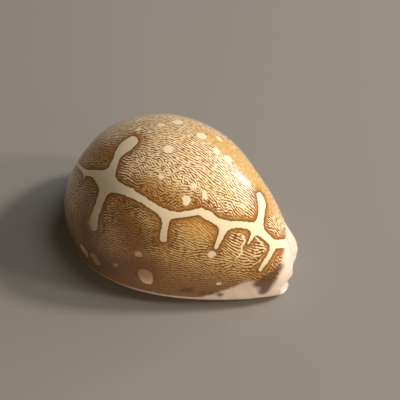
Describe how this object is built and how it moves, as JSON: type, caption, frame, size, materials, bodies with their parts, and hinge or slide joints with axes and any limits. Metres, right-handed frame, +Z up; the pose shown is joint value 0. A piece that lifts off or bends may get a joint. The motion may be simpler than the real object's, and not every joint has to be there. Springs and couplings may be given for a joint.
{
  "type": "cowrie shell",
  "caption": "Glossy egg-shaped sea shell with a domed, map-patterned back, lying on a flat base with a toothed slit.",
  "frame": {"origin": "middle of the shell's outline, on the surface that it rests on", "axes": "+X along the length towards the narrow front end, +Y towards the inner lip's side, +Z up through the back"},
  "size_m": [0.077, 0.053, 0.0436],
  "materials": {
    "shell_enamel": "high-gloss natural enamel"
  },
  "bodies": {
    "root": {"cowrie_shell": "shell_enamel"}
  },
  "joints": []
}
